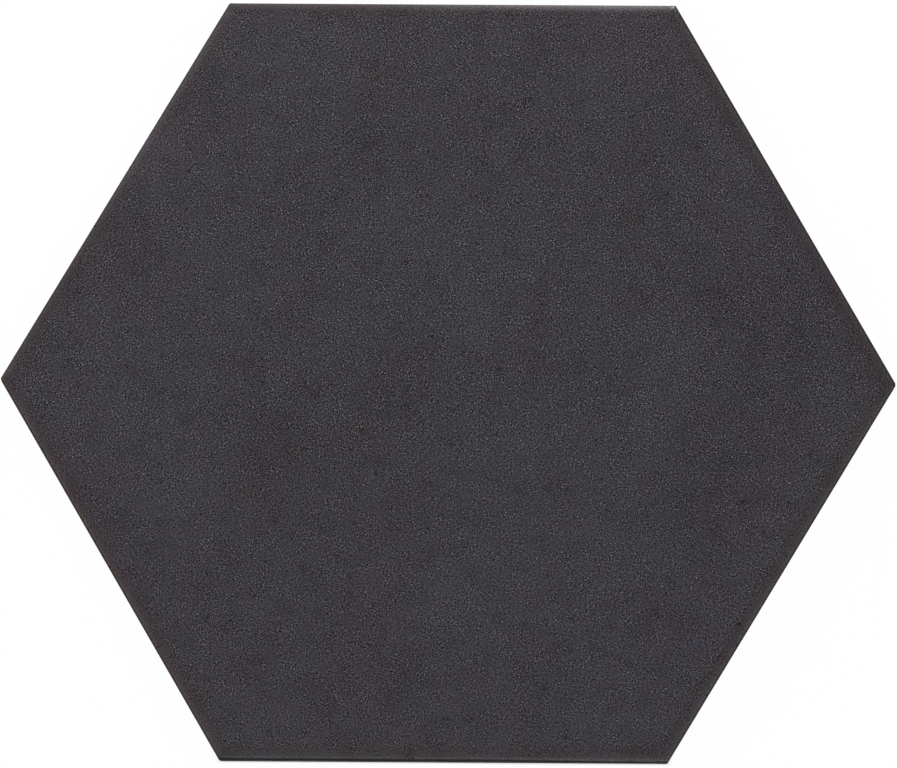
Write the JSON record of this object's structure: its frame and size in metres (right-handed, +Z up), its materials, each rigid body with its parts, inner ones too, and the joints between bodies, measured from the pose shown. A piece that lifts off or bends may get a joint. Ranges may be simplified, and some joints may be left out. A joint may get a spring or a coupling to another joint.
{
  "type": "hexagon floor tile",
  "caption": "Regular hexagon porcelain floor tile, dark and matt, with softly pressed arrises, squared joint sides and a keyed honeycomb back.",
  "frame": {"origin": "middle of the back, at the level of the floor it lies on", "axes": "+Z up out of the face; +X through a corner, so two sides run along X and face +Y and -Y"},
  "size_m": [0.2654, 0.23, 0.009],
  "materials": {
    "porcelain": "matte"
  },
  "bodies": {
    "root": {"tile": "porcelain"}
  },
  "joints": []
}
